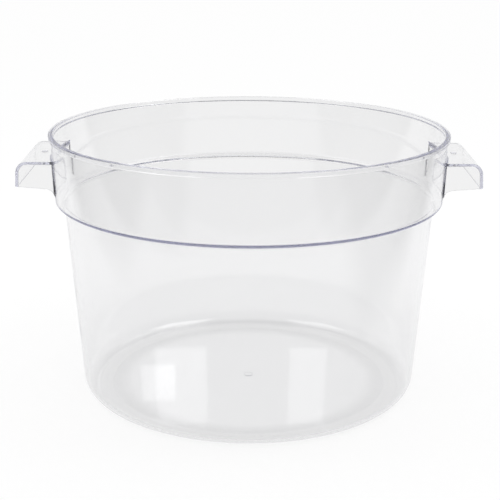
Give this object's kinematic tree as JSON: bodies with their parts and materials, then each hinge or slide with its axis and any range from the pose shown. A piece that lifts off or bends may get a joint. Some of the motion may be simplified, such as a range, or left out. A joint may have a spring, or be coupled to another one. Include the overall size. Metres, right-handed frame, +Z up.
{
  "type": "round food storage container",
  "caption": "Clear round tub for storing food: tapered body on a rounded heel, stepped collar that stops nested tubs from jamming, beaded rim and moulded lifting handles.",
  "frame": {"origin": "centre of the standing ring, on the surface that the container stands on", "axes": "+Z up through the mouth; +X through the right handle, -X through the left handle; -Y is the front"},
  "size_m": [0.358, 0.314, 0.211],
  "materials": {
    "clear_polycarbonate": "clear, glossy, injection moulded, with a faint violet edge tint"
  },
  "bodies": {
    "root": {"floor_panel": "clear_polycarbonate", "gate_mark": "clear_polycarbonate", "heel": "clear_polycarbonate", "side_wall": "clear_polycarbonate", "shoulder": "clear_polycarbonate", "collar": "clear_polycarbonate", "rim": "clear_polycarbonate", "left_handle_plate": "clear_polycarbonate", "left_handle_lip": "clear_polycarbonate", "left_handle_front_web": "clear_polycarbonate", "left_handle_rear_web": "clear_polycarbonate", "right_handle_plate": "clear_polycarbonate", "right_handle_lip": "clear_polycarbonate", "right_handle_front_web": "clear_polycarbonate", "right_handle_rear_web": "clear_polycarbonate"}
  },
  "joints": []
}
